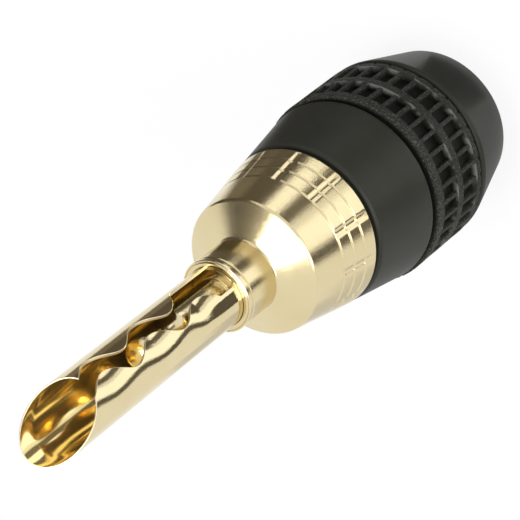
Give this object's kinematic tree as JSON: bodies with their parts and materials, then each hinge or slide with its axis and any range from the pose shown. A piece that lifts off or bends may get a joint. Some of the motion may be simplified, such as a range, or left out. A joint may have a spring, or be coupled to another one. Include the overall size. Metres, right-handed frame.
{
  "type": "banana plug",
  "caption": "Screw-on speaker plug with a hollow rolled spring contact, a turned gold body, a black housing that unscrews and a ribbed rubber grip ring.",
  "frame": {"origin": "centre of the housing's rear face, on which the plug stands", "axes": "+Z along the plug towards the contact's tip, -Y towards the slit, the slanted tip's low side and the clamp screws"},
  "size_m": [0.0142, 0.0142, 0.0465],
  "materials": {
    "gold_contact": "polished gold plate",
    "gold_core": "turned gold plate",
    "gold_body": "turned gold plate",
    "screw_steel": "blackened",
    "insert_brass": "turned",
    "housing_black": "satin",
    "grip_rubber": "matt"
  },
  "bodies": {
    "shell": {"housing": "housing_black", "grip_ring": "grip_rubber"},
    "insert": {"thread_insert": "insert_brass"},
    "contact": {"contact_body": "gold_body", "contact_sleeve": "gold_contact", "core_pin": "gold_core"},
    "front_screw": {"front_clamp_screw": "screw_steel"},
    "rear_screw": {"rear_clamp_screw": "screw_steel"}
  },
  "joints": [
    {"name": "contact_turn", "type": "hinge", "parent": "shell", "child": "insert", "pos_m": [0, 0, 0.0136], "axis": [0, 0, 1], "range_deg": [0, 2160]},
    {"name": "contact_travel", "type": "slide", "parent": "insert", "child": "contact", "axis": [0, 0, 1], "range_m": [0, 0.0045]},
    {"name": "front_screw_travel", "type": "slide", "parent": "contact", "child": "front_screw", "axis": [0, 1, 0], "range_m": [0, 0.0015]},
    {"name": "rear_screw_travel", "type": "slide", "parent": "contact", "child": "rear_screw", "axis": [0, 1, 0], "range_m": [0, 0.0015]}
  ],
  "couplings": [
    {"joint": "contact_travel", "follows": "contact_turn", "m_per_rad": 0.00011937}
  ]
}
